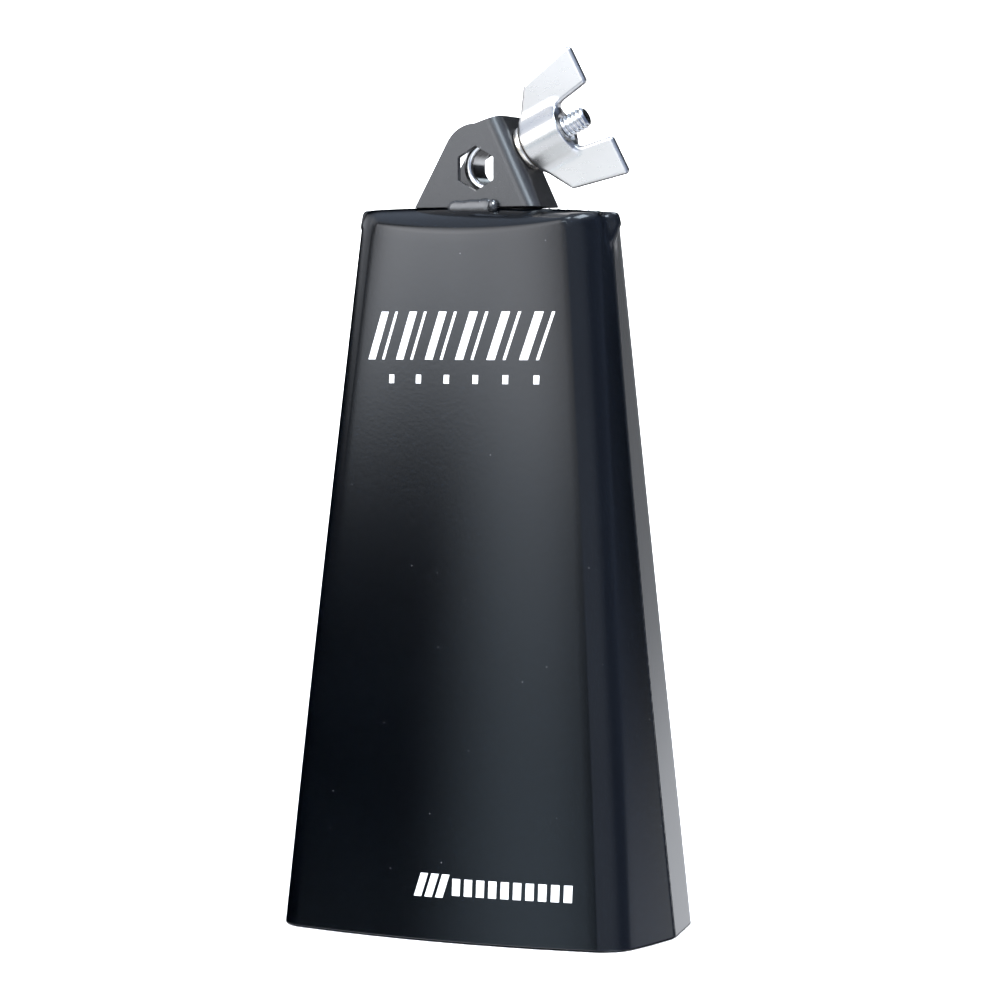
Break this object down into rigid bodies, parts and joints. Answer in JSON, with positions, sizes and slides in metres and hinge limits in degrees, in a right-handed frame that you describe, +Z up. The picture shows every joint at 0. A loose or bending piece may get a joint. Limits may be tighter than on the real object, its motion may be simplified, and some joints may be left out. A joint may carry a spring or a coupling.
{
  "type": "cowbell",
  "caption": "Black steel cowbell with an open mouth, welded side seams and a top bracket whose eye bolt and wing nut clamp it to a stand rod.",
  "frame": {"origin": "centre of the mouth, in the plane of its rim", "axes": "+Z up from the mouth to the ridge, -Y out of the front face, +X towards the wing nut"},
  "size_m": [0.1152, 0.0664, 0.2472],
  "materials": {
    "powder_coat": "satin black powder coat on sheet steel",
    "bracket_coat": "satin black powder coat on thicker steel",
    "white_ink": "matte white screen print",
    "bolt_plating": "bright zinc plating on forged steel",
    "washer_zinc": "zinc plated, slightly yellow",
    "nut_plating": "polished plated die casting"
  },
  "bodies": {
    "bell": {"front_shell": "powder_coat", "back_shell": "powder_coat", "right_seam_weld": "powder_coat", "left_seam_weld": "powder_coat", "ridge_weld": "powder_coat", "mount_bracket": "bracket_coat", "front_ear_weld": "bracket_coat", "rear_ear_weld": "bracket_coat", "upper_print": "white_ink", "dash_print": "white_ink", "lower_print": "white_ink"},
    "clamp_bolt": {"eye_bolt": "bolt_plating"},
    "washer": {"flat_washer": "washer_zinc"},
    "nut": {"wing_nut": "nut_plating"}
  },
  "joints": [
    {"name": "wing_nut_turn", "type": "hinge", "parent": "bell", "child": "nut", "pos_m": [0.00214, 0, 0.21405], "axis": [0.9026, 0, 0.4305], "range_deg": [-90, 1350]},
    {"name": "eye_bolt_slide", "type": "slide", "parent": "bell", "child": "clamp_bolt", "axis": [0.9026, 0, 0.4305], "range_m": [-0.0048, 0.00035]},
    {"name": "washer_turn", "type": "hinge", "parent": "bell", "child": "washer", "pos_m": [0.00214, 0, 0.21405], "axis": [0.9026, 0, 0.4305], "continuous": true}
  ],
  "couplings": [
    {"joint": "eye_bolt_slide", "follows": "wing_nut_turn", "m_per_rad": -0.00020213}
  ]
}
